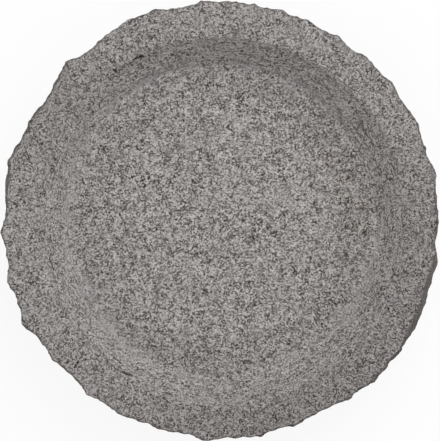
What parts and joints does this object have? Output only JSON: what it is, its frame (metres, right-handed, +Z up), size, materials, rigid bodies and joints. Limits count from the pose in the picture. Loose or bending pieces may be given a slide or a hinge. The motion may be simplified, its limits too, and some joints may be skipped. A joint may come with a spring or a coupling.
{
  "type": "birdbath",
  "caption": "Shallow round granite birdbath dish with a wide rim, a flake-chipped edge and a hewn underside, standing on stuck-on rubber feet.",
  "frame": {"origin": "on the ground, under the middle of the bowl's outline", "axes": "+Z up along the bowl's axis; -Y is the front, the lower edge of the picture; +X is the right of the picture"},
  "size_m": [0.4003, 0.4, 0.0797],
  "materials": {
    "granite": "bush-hammered top, split edge and hewn flank, speckled grey",
    "rubber": "matt black moulded rubber",
    "foam_tape": "off-white closed-cell foam"
  },
  "bodies": {
    "root": {"granite_bowl": "granite", "foot_front_left": "rubber", "foot_front_right": "rubber", "foot_back_right": "rubber", "foot_back_left": "rubber", "tape_front_left": "foam_tape", "tape_front_right": "foam_tape", "tape_back_right": "foam_tape", "tape_back_left": "foam_tape"}
  },
  "joints": []
}
